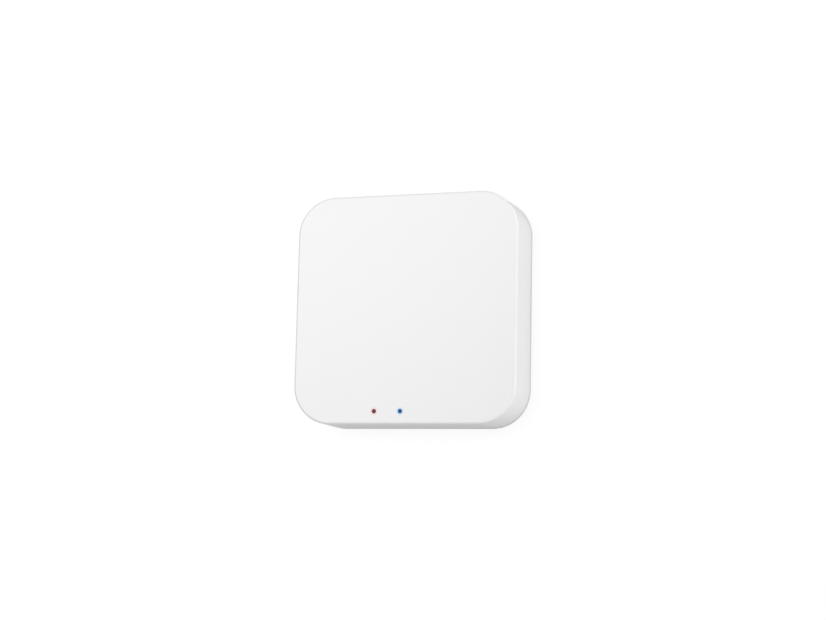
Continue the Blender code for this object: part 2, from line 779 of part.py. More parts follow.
def make_reset_switch():
    """A side-push switch: base with a round chamber, snap dome, and a sheet-metal cover with the plunger's hole."""
    width, depth, height = SWITCH_SIZE
    base_front = SWITCH_FRONT_Y - SEAT
    base_centre = (RESET_X, base_front - depth / 2, RESET_Z)
    base = box("reset_switch_base", SWITCH_SIZE, base_centre, BLACK_PLASTIC)
    chamber_depth = 1.6 * MM
    chamber_centre = (RESET_X, base_front - chamber_depth / 2 + MM / 2, RESET_Z)
    chamber = cylinder(
        "switch_chamber",
        CHAMBER_RADIUS,
        chamber_depth + MM,
        chamber_centre,
        BLACK_PLASTIC,
        ALONG_Y,
    )
    cut_from(base, chamber)

    cover_centre = (RESET_X, SWITCH_FRONT_Y + SWITCH_COVER / 2, RESET_Z)
    cover_size = (width + 2 * (SWITCH_COVER + SEAT), SWITCH_COVER, height)
    cover = box("reset_switch_cover", cover_size, cover_centre, STEEL)
    for way in (-1, 1):
        clip_size = (SWITCH_COVER, 2.0 * MM, 1.6 * MM)
        clip_x = RESET_X + way * (width / 2 + SEAT + SWITCH_COVER / 2)
        clip_y = SWITCH_FRONT_Y + SWITCH_COVER / 2 - clip_size[1] / 2
        add_to(cover, box(f"clip_{way}", clip_size, (clip_x, clip_y, RESET_Z), STEEL))
    hole_radius = PLUNGER_RADIUS + 0.1 * MM
    cut_from(cover, cylinder("cover_hole", hole_radius, MM, cover_centre, STEEL, ALONG_Y))

    make_snap_dome(base_front - chamber_depth + SEAT + DOME_METAL)


def make_snap_dome(rim_y):
    """A thin spring dome, which the plunger reaches at the end of its travel."""
    sphere = (DOME_RADIUS**2 + DOME_RISE**2) / (2 * DOME_RISE)
    half_angle = math.degrees(math.asin(DOME_RADIUS / sphere))
    centre = (0.0, DOME_RISE - sphere)
    outer = arc(centre, sphere, 90, 90 - half_angle, 5)
    inner = arc(centre, sphere - DOME_METAL, 90 - half_angle, 90, 5)
    profile = [(0.0, outer[0][1]), *outer[1:], *inner[:-1], (0.0, inner[-1][1])]
    turned("reset_switch_dome", profile, (RESET_X, rim_y, RESET_Z), STEEL, ALONG_Y)


# ---------------------------------------------------------------- radio modules


def make_module(name, centre, way):
    """A radio module: its own little board with a bare antenna end, a chip, and a shield can. way is the antenna's end along X."""
    x, y = centre
    top = ON_BOARD + MODULE_BOARD
    board_centre = (x, y, ON_BOARD + MODULE_BOARD / 2)
    board_size = (MODULE_LENGTH, MODULE_WIDTH, MODULE_BOARD)
    box(f"{name}_module_board", board_size, board_centre, BLACK_BOARD)

    can_x = x - way * (MODULE_LENGTH / 2 - CAN_LENGTH / 2 - 1.5 * MM)
    low = top + SEAT
    can = slab(
        f"{name}_shield_can",
        (CAN_LENGTH, CAN_WIDTH),
        0.8 * MM,
        low,
        low + CAN_HEIGHT,
        STEEL,
        centre=(can_x, y),
        steps=3,
        top_fillet=0.3 * MM,
        open_bottom=True,
    )
    shell_modifier(can, CAN_METAL)

    chip = (7.0 * MM, 7.0 * MM, 0.85 * MM)
    box(f"{name}_chip", chip, (can_x, y, low + chip[2] / 2), BLACK_PLASTIC)


# ---------------------------------------------------------------- power supply and small parts


def make_capacitor(name, x, y):
    """An aluminium electrolytic: a moulded base with two corners cut off, and the can with its rolled groove."""
    half, corner, base_height = 3.3 * MM, 1.0 * MM, 0.9 * MM
    outline = (
        (-half, -half),
        (half, -half),
        (half, half - corner),
        (half - corner, half),
        (corner - half, half),
        (-half, half - corner),
    )
    base_centre = (x, y, ON_BOARD + base_height / 2)
    prism(f"{name}_base", outline, base_height, base_centre, BLACK_PLASTIC)

    radius, height, groove, rim = 3.1 * MM, 4.5 * MM, 0.25 * MM, 0.4 * MM
    profile = [(0.0, height), (radius - rim, height)]
    profile += arc((radius - rim, height - rim), rim, 90, 0, 3)[1:]
    profile += [
        (radius, 1.3 * MM),
        (radius - groove, 1.05 * MM),
        (radius - groove, 0.85 * MM),
        (radius, 0.6 * MM),
        (radius, 0.0),
        (0.0, 0.0),
    ]
    bottom = ON_BOARD + base_height + SEAT
    turned(f"{name}_can", profile, (x, y, bottom), ALUMINIUM)


def make_regulator(x, y):
    """A three-lead voltage regulator and the bent cooling tab behind it."""
    size = (6.5 * MM, 3.5 * MM, 1.6 * MM)
    box("voltage_regulator", size, (x, y, ON_BOARD + size[2] / 2), BLACK_PLASTIC, bevel=0.2 * MM)
    thick, reach, foot = 0.25 * MM, 0.5 * MM, 1.1 * MM
    rise = 0.8 * MM
    outline = (
        (0.0, rise),
        (0.0, rise - thick),
        (reach, rise - thick),
        (reach, 0.0),
        (reach + foot, 0.0),
        (reach + foot, thick),
        (reach + thick, thick),
        (reach + thick, rise),
    )
    place_at = (x, y + size[1] / 2 + SEAT, ON_BOARD)
    rotation = (math.radians(90), 0, math.radians(90))
    prism("regulator_tab", outline, 3.0 * MM, place_at, STEEL, rotation)


def make_power_supply():
    make_capacitor("input_capacitor", -18.0 * MM, 12.5 * MM)
    make_capacitor("output_capacitor", 15.5 * MM, 13.5 * MM)
    make_regulator(4.0 * MM, 14.0 * MM)
    fuse = (3.2 * MM, 1.6 * MM, 0.8 * MM)
    box("input_fuse", fuse, (-8.0 * MM, 22.5 * MM, ON_BOARD + fuse[2] / 2), GREEN_BOARD)
    diode = (4.3 * MM, 2.6 * MM, 2.1 * MM)
    centre = (-9.0 * MM, 15.0 * MM, ON_BOARD + diode[2] / 2)
    box("input_diode", diode, centre, BLACK_PLASTIC, bevel=0.15 * MM)


def make_small_parts():
    """Chip resistors and capacitors, each lying along X or Y."""
    resistor = (1.6 * MM, 0.8 * MM, 0.5 * MM)
    capacitor = (2.0 * MM, 1.2 * MM, 0.9 * MM)
    parts = (
        ("red_led_resistor", resistor, RED_X, -22.5 * MM, 90, BLACK_PLASTIC),
        ("blue_led_resistor", resistor, BLUE_X, -22.5 * MM, 90, BLACK_PLASTIC),
        ("reset_resistor", resistor, 12.5 * MM, 19.5 * MM, 0, BLACK_PLASTIC),
        ("ferrite_bead", capacitor, -4.0 * MM, 19.5 * MM, 90, BLACK_PLASTIC),
        ("wifi_capacitor_1", capacitor, -12.0 * MM, -12.0 * MM, 0, CERAMIC),
        ("wifi_capacitor_2", capacitor, -8.0 * MM, -12.0 * MM, 0, CERAMIC),
        ("zigbee_capacitor_1", capacitor, 8.0 * MM, -12.0 * MM, 0, CERAMIC),
        ("zigbee_capacitor_2", capacitor, 12.0 * MM, -12.0 * MM, 0, CERAMIC),
    )
    for name, size, x, y, angle, material in parts:
        centre = (x, y, ON_BOARD + size[2] / 2)
        box(name, size, centre, material, rotation=(0, 0, math.radians(angle)))


# ---------------------------------------------------------------- the hub

make_front_shell()
make_rear_cover()
make_feet()
make_label()
make_lights()
make_main_board()
make_board_screws()
make_inlet()
make_reset_button()
make_reset_switch()
make_module("wifi", (-14.6 * MM, -1.0 * MM), -1)
make_module("zigbee", (14.6 * MM, -1.0 * MM), 1)
make_power_supply()
make_small_parts()
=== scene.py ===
import math

import bmesh
import bpy
from mathutils import Matrix, Vector


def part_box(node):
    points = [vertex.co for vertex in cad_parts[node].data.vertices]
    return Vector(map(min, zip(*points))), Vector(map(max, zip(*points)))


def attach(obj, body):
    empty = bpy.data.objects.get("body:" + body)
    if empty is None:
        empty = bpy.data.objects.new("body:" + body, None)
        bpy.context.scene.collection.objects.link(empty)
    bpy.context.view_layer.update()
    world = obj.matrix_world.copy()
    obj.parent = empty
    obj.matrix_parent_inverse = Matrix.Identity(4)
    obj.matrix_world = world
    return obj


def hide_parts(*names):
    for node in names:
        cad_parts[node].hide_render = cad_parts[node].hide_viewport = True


MM = 0.001
WELD = 0.0005 * MM  # after a boolean, closer vertices become one
SAME = 1e-7  # metres; closer coordinates are equal

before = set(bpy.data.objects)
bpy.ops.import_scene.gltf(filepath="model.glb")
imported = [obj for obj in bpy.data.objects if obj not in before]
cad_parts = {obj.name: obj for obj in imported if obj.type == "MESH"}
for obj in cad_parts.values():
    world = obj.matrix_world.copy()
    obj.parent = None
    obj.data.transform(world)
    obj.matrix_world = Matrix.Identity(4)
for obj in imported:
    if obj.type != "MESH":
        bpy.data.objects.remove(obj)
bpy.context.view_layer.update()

# ---------------------------------------------------------------- sizes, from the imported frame

shell_low, shell_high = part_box("front_shell")
cover_low, cover_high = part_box("rear_cover")
_, board_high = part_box("main_board")
usb_low, usb_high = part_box("usb_shell")
cap_low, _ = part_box("reset_button_cap")
_, foot_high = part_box("rubber_foot_1")
label_low, label_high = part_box("rear_label")

HALF = shell_high.x
CORNER = 10.0 * MM  # radius of the outline's corners
WALL = 1.6 * MM
DRAFT = math.tan(math.radians(1.0))
FRONT_FILLET = 0.6 * MM
REAR_FILLET = 0.8 * MM
TOP = shell_high.z
INSIDE_TOP = TOP - WALL
SHELL_BOTTOM = shell_low.z
COVER_BOTTOM = cover_low.z
PARTING = SHELL_BOTTOM - 0.5 * MM  # the cover's upper edge, below an open gap
SEAM_ROUND = 0.12 * MM  # on the two edges beside that gap
USB_Z = (usb_low.z + usb_high.z) / 2
SCREW_PLACE = 20 * MM  # of the four screws, from the middle along X and Y
ALONG_Y = (math.radians(-90), 0, 0)  # turns +Z to +Y


def half_at(z):
    """Half the shell's width at a height, on its drafted walls."""
    return HALF - (z - SHELL_BOTTOM) * DRAFT


def middle_of(node):
    low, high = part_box(node)
    return (low + high) / 2


RESET = middle_of("reset_button_cap")
LIGHTS = {colour: middle_of(f"{colour}_light_pipe") for colour in ("red", "blue")}
FEET = {node: middle_of(node) for node in (f"rubber_foot_{i}" for i in (1, 2, 3, 4))}


# ---------------------------------------------------------------- materials

PATCH = 6 * MM  # size of the patches of slightly different colour
BUMP_DEPTH = 0.02 * MM
POLISH_SPREAD = 0.06  # how far the roughness strays to either side
HALO_START, HALO_END = 0.5 * MM, 1.25 * MM  # the painted glow of a light's colour on the plastic round it, from its middle


def material(name, colour, rough, metal=0.0, **extra):
    """A Principled material whose colour, roughness and bump vary over the surface.

    In extra, vary is how much the colour changes, grain the size of the bumps in metres, bump their
    strength, stretch the scale of both along each axis, and shader other values for the shader.
    """
    mat = bpy.data.materials.new(name)
    mat.use_nodes = True
    nodes, links = mat.node_tree.nodes, mat.node_tree.links
    shader = nodes["Principled BSDF"]
    shader.inputs["Metallic"].default_value = metal
    for socket, value in extra.get("shader", {}).items():
        shader.inputs[socket].default_value = value
    place = nodes.new("ShaderNodeTexCoord")
    stretch = nodes.new("ShaderNodeMapping")
    stretch.inputs["Scale"].default_value = extra.get("stretch", (1, 1, 1))
    links.new(place.outputs["Object"], stretch.inputs["Vector"])

    broad = nodes.new("ShaderNodeTexNoise")
    broad.inputs["Scale"].default_value = 1 / PATCH
    broad.inputs["Detail"].default_value = 4
    links.new(stretch.outputs["Vector"], broad.inputs["Vector"])
    tone = nodes.new("ShaderNodeMix")
    tone.data_type = "RGBA"
    vary = extra["vary"]
    tone.inputs["A"].default_value = (*(c * (1 - vary) for c in colour), 1)
    tone.inputs["B"].default_value = (*(min(1, c * (1 + vary)) for c in colour), 1)
    links.new(broad.outputs["Fac"], tone.inputs["Factor"])
    links.new(tone.outputs["Result"], shader.inputs["Base Color"])

    fine = nodes.new("ShaderNodeTexNoise")
    fine.inputs["Scale"].default_value = 1 / extra["grain"]
    fine.inputs["Detail"].default_value = 3
    links.new(stretch.outputs["Vector"], fine.inputs["Vector"])
    polish = nodes.new("ShaderNodeMapRange")
    polish.inputs["To Min"].default_value = max(0.02, rough - POLISH_SPREAD)
    polish.inputs["To Max"].default_value = min(1, rough + POLISH_SPREAD)
    links.new(fine.outputs["Fac"], polish.inputs["Value"])
    links.new(polish.outputs["Result"], shader.inputs["Roughness"])
    bump = nodes.new("ShaderNodeBump")
    bump.inputs["Strength"].default_value = extra["bump"]
    bump.inputs["Distance"].default_value = BUMP_DEPTH
    links.new(fine.outputs["Fac"], bump.inputs["Height"])
    links.new(bump.outputs["Normal"], shader.inputs["Normal"])
    return mat


def node_of(mat, kind):
    return next(n for n in mat.node_tree.nodes if n.bl_idname == kind)


def glow(mat, centre, painted_led_light):
    """Paints the light that leaks from a light pipe into the shell as a coloured tint on the
    plastic round it: a painted glow.
    """
    nodes, links = mat.node_tree.nodes, mat.node_tree.links
    shader = nodes["Principled BSDF"]
    place = node_of(mat, "ShaderNodeTexCoord")
    gap = nodes.new("ShaderNodeVectorMath")
    gap.operation = "DISTANCE"
    gap.inputs[1].default_value = centre
    links.new(place.outputs["Object"], gap.inputs[0])
    fade = nodes.new("ShaderNodeMapRange")
    fade.interpolation_type = "SMOOTHSTEP"
    fade.inputs["From Min"].default_value = HALO_START
    fade.inputs["From Max"].default_value = HALO_END
    fade.inputs["To Min"].default_value = 1.0
    fade.inputs["To Max"].default_value = 0.0
    links.new(gap.outputs["Value"], fade.inputs["Value"])
    mix = nodes.new("ShaderNodeMix")
    mix.data_type = "RGBA"
    mix.inputs["B"].default_value = (*painted_led_light, 1)
    before = shader.inputs["Base Color"].links[0].from_socket
    links.new(before, mix.inputs["A"])
    links.new(fade.outputs["Result"], mix.inputs["Factor"])
    links.new(mix.outputs["Result"], shader.inputs["Base Color"])


WHITE = (0.83, 0.83, 0.83)
# painted shade: the rear cover is greyer than the shell so that the line along the hub's rear edge
# reads as dark as its shade
COVER_PAINTED_SHADE_GREY = (0.69, 0.69, 0.69)
SHELL_PLASTIC = material("shell_plastic", WHITE, 0.36, vary=0.006, grain=0.16 * MM, bump=0.10)
COVER_PLASTIC_PAINTED_SHADE = material("cover_plastic_painted_shade", COVER_PAINTED_SHADE_GREY, 0.5, vary=0.006, grain=0.22 * MM, bump=0.12)
BUTTON_PLASTIC = material("button_plastic", WHITE, 0.42, vary=0.006, grain=0.16 * MM, bump=0.06)
# painted light: each LED's red or blue light painted into the shell's colour round its light pipe
for name, painted_led_light in (("red", (0.93, 0.62, 0.62)), ("blue", (0.46, 0.68, 0.95))):
    glow(SHELL_PLASTIC, (LIGHTS[name].x, LIGHTS[name].y, TOP), painted_led_light)

RUBBER = material(
    "silicone_rubber", (0.36, 0.36, 0.37), 0.75, vary=0.05, grain=0.10 * MM, bump=0.35
)
LABEL = material("label_film", (0.74, 0.74, 0.75), 0.45, vary=0.01, grain=0.30 * MM, bump=0.05)
PLATED = material(
    "plated_steel",
    (0.66, 0.65, 0.63),
    0.28,
    1.0,
    vary=0.06,
    stretch=(1, 12, 1),
    grain=0.08 * MM,
    bump=0.12,
)
CAN_STEEL = material(
    "can_steel",
    (0.66, 0.66, 0.65),
    0.32,
    1.0,
    vary=0.05,
    stretch=(1, 14, 1),
    grain=0.15 * MM,
    bump=0.10,
)
SCREW_STEEL = material(
    "screw_steel", (0.55, 0.55, 0.57), 0.33, 1.0, vary=0.08, grain=0.10 * MM, bump=0.2
)
GOLD = material(
    "contact_gold", (0.86, 0.63, 0.25), 0.25, 1.0, vary=0.04, grain=0.06 * MM, bump=0.1
)
ALUMINIUM = material(
    "drawn_aluminium",
    (0.78, 0.78, 0.80),
    0.30,
    1.0,
    vary=0.03,
    stretch=(1, 1, 10),
    grain=0.10 * MM,
    bump=0.12,
)
BLACK = material(
    "black_moulding", (0.025, 0.025, 0.027), 0.45, vary=0.12, grain=0.08 * MM, bump=0.3
)
CHIP_BLACK = material(
    "chip_epoxy", (0.03, 0.03, 0.032), 0.6, vary=0.10, grain=0.05 * MM, bump=0.4
)
CERAMIC = material(
    "capacitor_ceramic", (0.45, 0.33, 0.21), 0.5, vary=0.10, grain=0.06 * MM, bump=0.2
)
LED_RESIN = material("led_resin", (0.85, 0.82, 0.62), 0.2, vary=0.04, grain=0.2 * MM, bump=0.05)
FUSE_GREEN = material("fuse_green", (0.05, 0.26, 0.12), 0.4, vary=0.10, grain=0.1 * MM, bump=0.2)


def lens(name, colour):
    """A light pipe: satin plastic in the colour of its light, with a faint glow of its own."""
    mat = material(
        name,
        colour,
        0.5,
        vary=0.10,
        grain=0.2 * MM,
        bump=0.05,
        shader={"Emission Strength": 0.15, "Specular IOR Level": 0.25},
    )
    tone = node_of(mat, "ShaderNodeMix")
    shader = mat.node_tree.nodes["Principled BSDF"]
    mat.node_tree.links.new(tone.outputs["Result"], shader.inputs["Emission Color"])
    return mat


LENSES = {
    "red": lens("red_lens", (0.13, 0.030, 0.031)),
    "blue": lens("blue_lens", (0.022, 0.070, 0.20)),
}


HOLE_GOLD = (0.75, 0.58, 0.28)


def board_material(name, mask, copper, pitch):
    """Solder mask over straight copper tracks, a pitch apart, and plated holes."""
    mat = material(name, mask, 0.32, vary=0.10, grain=0.25 * MM, bump=0.08)
    nodes, links = mat.node_tree.nodes, mat.node_tree.links
    shader = nodes["Principled BSDF"]
    place = node_of(mat, "ShaderNodeTexCoord")
    tone = node_of(mat, "ShaderNodeMix")
    bricks = nodes.new("ShaderNodeTexBrick")
    bricks.inputs["Scale"].default_value = 1 / pitch
    bricks.inputs["Mortar Size"].default_value = 0.03
    bricks.inputs["Mortar Smooth"].default_value = 0.1
    bricks.inputs["Brick Width"].default_value = 1.7
    bricks.inputs["Row Height"].default_value = 0.31
    bricks.offset = 0.37
    bricks.squash = 1.6
    links.new(place.outputs["Object"], bricks.inputs["Vector"])
    cells = nodes.new("ShaderNodeTexVoronoi")
    cells.inputs["Scale"].default_value = 1 / (pitch * 0.8)
    links.new(place.outputs["Object"], cells.inputs["Vector"])
    holes = nodes.new("ShaderNodeMath")
    holes.operation = "LESS_THAN"
    holes.inputs[1].default_value = 0.10
    links.new(cells.outputs["Distance"], holes.inputs[0])
    track = nodes.new("ShaderNodeMix")
    track.data_type = "RGBA"
    track.inputs["B"].default_value = (*copper, 1)
    links.new(bricks.outputs["Fac"], track.inputs["Factor"])
    links.new(tone.outputs["Result"], track.inputs["A"])
    plated = nodes.new("ShaderNodeMix")
    plated.data_type = "RGBA"
    plated.inputs["B"].default_value = (*HOLE_GOLD, 1)
    links.new(holes.outputs["Value"], plated.inputs["Factor"])
    links.new(track.outputs["Result"], plated.inputs["A"])
    links.new(plated.outputs["Result"], shader.inputs["Base Color"])
    return mat


GREEN_BOARD = board_material("green_board", (0.012, 0.13, 0.045), (0.03, 0.26, 0.09), 2.6 * MM)
BLACK_BOARD = board_material("black_board", (0.012, 0.012, 0.016), (0.05, 0.05, 0.06), 2.0 * MM)

# ---------------------------------------------------------------- modelling


def finish_piece(name, mesh, mat, replaces, body="housing", angle=32):
    """Shades a mesh, makes it an object and hangs it on its body."""
    mesh.materials.clear()
    mesh.materials.append(mat)
    mesh.shade_smooth()
    mesh.set_sharp_from_angle(angle=math.radians(angle))
    obj = loose(name, mesh)
    weigh = obj.modifiers.new("flat_faces_stay_flat", "WEIGHTED_NORMAL")
    weigh.keep_sharp = True
    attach(obj, body)
    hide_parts(*replaces)


def loose(name, mesh, location=(0, 0, 0), rotation=(0, 0, 0)):
    """A mesh as an object of the scene: a finished piece, or a shape to join or cut with."""
    obj = bpy.data.objects.new(name, mesh)
    bpy.context.scene.collection.objects.link(obj)
    obj.location = location
    obj.rotation_euler = rotation
    return obj


def mesh_from(bm, name):
    mesh = bpy.data.meshes.new(name)
    bm.to_mesh(mesh)
    bm.free()
    return mesh


def slab(name, half, corner, low, high, **shape):
    """A block with round upright corners.

    half is half its width, or a pair for X and Y. In shape, lean is how far the sides lean in by
    the top, top and bottom are the radii of its level edges, with round faces each, and steps is
    the number of faces to a corner.
    """
    hx, hy = half if isinstance(half, tuple) else (half, half)
    lean = shape.get("lean", 0.0)
    bm = bmesh.new()
    size = Matrix.Diagonal((2 * hx, 2 * hy, high - low, 1))
    shift = Matrix.Translation((0, 0, (low + high) / 2))
    bmesh.ops.create_cube(bm, size=1, matrix=shift @ size)
    for vert in bm.verts:
        if vert.co.z > (low + high) / 2:
            vert.co.x -= math.copysign(lean, vert.co.x)
            vert.co.y -= math.copysign(lean, vert.co.y)

    def bevel(edges, offset, segments):
        bmesh.ops.bevel(
            bm, geom=edges, offset=offset, segments=segments, profile=0.5, affect="EDGES"
        )

    rising = [e for e in bm.edges if abs(e.verts[0].co.z - e.verts[1].co.z) > SAME]
    bevel(rising, corner, shape.get("steps", 24))
    for radius, z in ((shape.get("top"), high), (shape.get("bottom"), low)):
        if radius:
            level = [e for e in bm.edges if all(abs(v.co.z - z) < SAME for v in e.verts)]
            bevel(level, radius, shape["round"])
    return loose(name, mesh_from(bm, name))


def turned(name, profile, steps=64, location=(0, 0, 0), rotation=(0, 0, 0)):
    """A solid of revolution about its own Z, from (radius, height) points from top to bottom."""
    bm = bmesh.new()
    verts = [bm.verts.new((r, 0, z)) for r, z in profile]
    for a, b in zip(verts, verts[1:]):
        bm.edges.new((a, b))
    bmesh.ops.spin(
        bm,
        geom=bm.verts[:] + bm.edges[:],
        axis=(0, 0, 1),
        cent=(0, 0, 0),
        angle=math.tau,
        steps=steps,
        use_merge=True,
    )
    bmesh.ops.remove_doubles(bm, verts=bm.verts[:], dist=SAME)
    # a flat end becomes one face, which keeps the booleans free of holes
    poles = [v for v in bm.verts if v.co.xy.length < SAME]
    flat_poles = [
        v for v in poles if all(abs(e.other_vert(v).co.z - v.co.z) < SAME for e in v.link_edges)
    ]
    bmesh.ops.dissolve_verts(bm, verts=flat_poles)
    bmesh.ops.recalc_face_normals(bm, faces=bm.faces[:])
    return loose(name, mesh_from(bm, name), location, rotation)


def arc(x, y, radius, start, end, steps=8):
    """Points on an arc about (x, y), with its start and end in degrees."""
    angles = [math.radians(start + (end - start) * i / steps) for i in range(steps + 1)]
    return [(x + radius * math.cos(a), y + radius * math.sin(a)) for a in angles]


def rod(name, radius, low, high, steps=48, location=(0, 0, 0)):
    return turned(name, [(0, high), (radius, high), (radius, low), (0, low)], steps, location)


def block(name, size, centre, bevel=0.0, rotation=(0, 0, 0)):
    bm = bmesh.new()
    bmesh.ops.create_cube(bm, size=1, matrix=Matrix.Diagonal((*size, 1)))
    if bevel:
        bmesh.ops.bevel(
            bm, geom=bm.edges[:], offset=bevel, segments=3, profile=0.5, affect="EDGES"
        )
    return loose(name, mesh_from(bm, name), centre, rotation)


def flat(name, outlines, depth, location=(0, 0, 0), rotation=(0, 0, 0), bevel=0.0):
    """Outlines, the first the outside and the others holes, made a plate with a depth along Z."""
    curve = bpy.data.curves.new(name, "CURVE")
    curve.dimensions = "2D"
    curve.fill_mode = "BOTH"
    curve.extrude = depth / 2 - bevel
    curve.bevel_depth = bevel
    curve.bevel_resolution = 2
    curve.offset = -bevel
    for outline in outlines:
        spline = curve.splines.new("POLY")
        spline.points.add(len(outline) - 1)
        for point, (x, y) in zip(spline.points, outline):
            point.co = (x, y, 0, 1)
        spline.use_cyclic_u = True
    guide = bpy.data.objects.new(name + "_guide", curve)
    bpy.context.scene.collection.objects.link(guide)
    graph = bpy.context.evaluated_depsgraph_get()
    mesh = bpy.data.meshes.new_from_object(guide.evaluated_get(graph))
    bpy.data.objects.remove(guide, do_unlink=True)
    bm = bmesh.new()
    bm.from_mesh(mesh)
    bmesh.ops.remove_doubles(bm, verts=bm.verts[:], dist=2 * WELD)
    bmesh.ops.recalc_face_normals(bm, faces=bm.faces[:])
    bm.to_mesh(mesh)
    bm.free()
    return loose(name, mesh, location, rotation)


def carve(base, *steps):
    """Joins and cuts shapes in order, and returns the mesh where it stands.

    steps are (operation, [shapes]).
    """
    for operation, others in steps:
        for other in others:
            boolean = base.modifiers.new(operation, "BOOLEAN")
            boolean.operation = operation
            boolean.solver = "EXACT"
            boolean.object = other
    graph = bpy.context.evaluated_depsgraph_get()
    mesh = bpy.data.meshes.new_from_object(base.evaluated_get(graph))
    mesh.transform(base.matrix_world)
    bm = bmesh.new()
    bm.from_mesh(mesh)
    bmesh.ops.remove_doubles(bm, verts=bm.verts[:], dist=WELD)
    bmesh.ops.dissolve_degenerate(bm, edges=bm.edges[:], dist=WELD)
    bm.to_mesh(mesh)
    bm.free()
    for _, others in steps:
        for other in others:
            bpy.data.objects.remove(other, do_unlink=True)
    bpy.data.objects.remove(base, do_unlink=True)
    return mesh


def rounded(width, height, radius):
    """The outline of a rectangle with round corners."""
    x, y = width / 2 - radius, height / 2 - radius
    points = arc(x, y, radius, 0, 90) + arc(-x, y, radius, 90, 180)
    return points + arc(-x, -y, radius, 180, 270) + arc(x, -y, radius, 270, 360)


# ---------------------------------------------------------------- enclosure


def funnel(name, outer, inner, low, high):
    """A cutter whose mouth widens between two rounded outlines, each (width, height, radius)."""
    bm = bmesh.new()
    rings = []
    for (width, height, radius), z in ((inner, low), (outer, high)):
        rings.append([bm.verts.new((x, y, z)) for x, y in rounded(width, height, radius)])
    count = len(rings[0])
    for i in range(count):
        j = (i + 1) % count
        bm.faces.new((rings[0][i], rings[0][j], rings[1][j], rings[1][i]))
    bm.faces.new(list(reversed(rings[0])))
    bm.faces.new(rings[1])
    bmesh.ops.remove_doubles(bm, verts=bm.verts[:], dist=SAME)
    bmesh.ops.recalc_face_normals(bm, faces=bm.faces[:])
    return loose(name, mesh_from(bm, name))


def upright(obj, y, z, x=0.0):
    """Turns a shape made along +Z so that it points out of the +Y side."""
    obj.rotation_euler = ALONG_Y
    obj.location = (x, y, z)
    return obj


def make_front_shell():
    shell = slab(
        "shell",
        HALF,
        CORNER,
        SHELL_BOTTOM,
        TOP,
        lean=HALF - half_at(TOP),
        top=FRONT_FILLET,
        bottom=SEAM_ROUND,
        steps=32,
        round=10,
    )
    mouth = SHELL_BOTTOM - MM
    hollow = slab(
        "hollow",
        half_at(mouth) - WALL,
        CORNER - WALL,
        mouth,
        INSIDE_TOP,
        lean=half_at(mouth) - half_at(INSIDE_TOP),
        top=0.5 * MM,
        round=3,
    )
    joins, cuts = [], []

    in_face = TOP - WALL / 2  # where the bosses and sleeves end, inside the face
    boss_radius, boss_low = 2.5 * MM, board_high.z + 0.05 * MM
    pilot_radius, pilot_low, pilot_high = MM, 5 * MM, 11.9 * MM
    for sx in (-1, 1):
        for sy in (-1, 1):
            at = (sx * SCREW_PLACE, sy * SCREW_PLACE, 0)
            joins.append(rod("boss", boss_radius, boss_low, in_face, location=at))
            cuts.append(rod("pilot", pilot_radius, pilot_low, pilot_high, 24, at))

    sleeve_radius, sleeve_low = 1.95 * MM, INSIDE_TOP - 3.5 * MM
    bore_radius, bore_low = 1.25 * MM, 8 * MM
    eye_radius, eye_mouth = 0.54 * MM, 0.62 * MM
    eye = [(0, TOP + MM), (eye_mouth, TOP + MM), (eye_mouth, TOP), (eye_radius, TOP - 0.1 * MM)]
    eye += [(eye_radius, INSIDE_TOP - MM), (0, INSIDE_TOP - MM)]
    for centre in LIGHTS.values():
        at = (centre.x, centre.y, 0)
        joins.append(rod("sleeve", sleeve_radius, sleeve_low, in_face, location=at))
        cuts.append(rod("bore", bore_radius, bore_low, INSIDE_TOP, 32, at))
        cuts.append(turned("eye", eye, 32, at))

    # the inlet's window and the button's hole, both with a small chamfer outside
    window = (8.7 * MM, 3.8 * MM, 1.0 * MM)
    wide = (9.3 * MM, 4.4 * MM, 1.3 * MM)
    past, chamfer = 0.02 * MM, 0.2 * MM
    outside = half_at(USB_Z)
    cuts.append(upright(flat("window", [rounded(*window)], 8 * MM), outside, USB_Z))
    window_edge = funnel("window_edge", wide, window, -0.30 * MM, past)
    cuts.append(upright(window_edge, outside, USB_Z))
    hole_radius, hole_mouth, through = 1.65 * MM, 1.85 * MM, 4 * MM
    hole = [(0, through), (hole_mouth, through), (hole_mouth, past), (hole_radius, past - chamfer)]
    hole += [(hole_radius, -through), (0, -through)]
    cuts.append(upright(turned("reset_hole", hole), half_at(RESET.z), RESET.z, RESET.x))
    mesh = carve(shell, ("DIFFERENCE", [hollow]), ("UNION", joins), ("DIFFERENCE", cuts))
    finish_piece("front_shell_skin", mesh, SHELL_PLASTIC, ["front_shell"])


def snap_hooks(lip_half):
    """Two snap hooks on each side of the lip, and the slits on both sides of each."""
    hook_length, hook_reach, hook_root = 5 * MM, 0.45 * MM, -0.3 * MM
    hook_height, hook_nose = 0.85 * MM, 0.25 * MM
    outline = [(hook_root, 0), (hook_reach, 0), (hook_reach, hook_nose), (0.05 * MM, hook_height)]
    outline.append((hook_root, hook_height))
    slit_size = (0.8 * MM, 2.4 * MM, 1.9 * MM)
    slit_shift, slit_in, slit_drop = 3.3 * MM, 0.4 * MM, 0.3 * MM
    hooks, slits = [], []
    for side in range(4):
        quarter = math.radians(90 * side)
        turn = Matrix.Rotation(quarter, 4, "Z")
        for along in (-15 * MM, 15 * MM):
            for way in (-1, 1):
                at = (along + way * slit_shift, slit_in - lip_half, cover_high.z - slit_drop)
                spot = turn @ Vector(at)
                slits.append(block("slit", slit_size, spot, rotation=(0, 0, quarter)))
            hook = flat("hook", [outline], hook_length)
            hook.location = turn @ Vector((along, -lip_half, cover_high.z - 0.95 * MM))
            hook.rotation_euler = (math.radians(90), 0, math.radians(90 * side - 90))
            hooks.append(hook)
    return hooks, slits


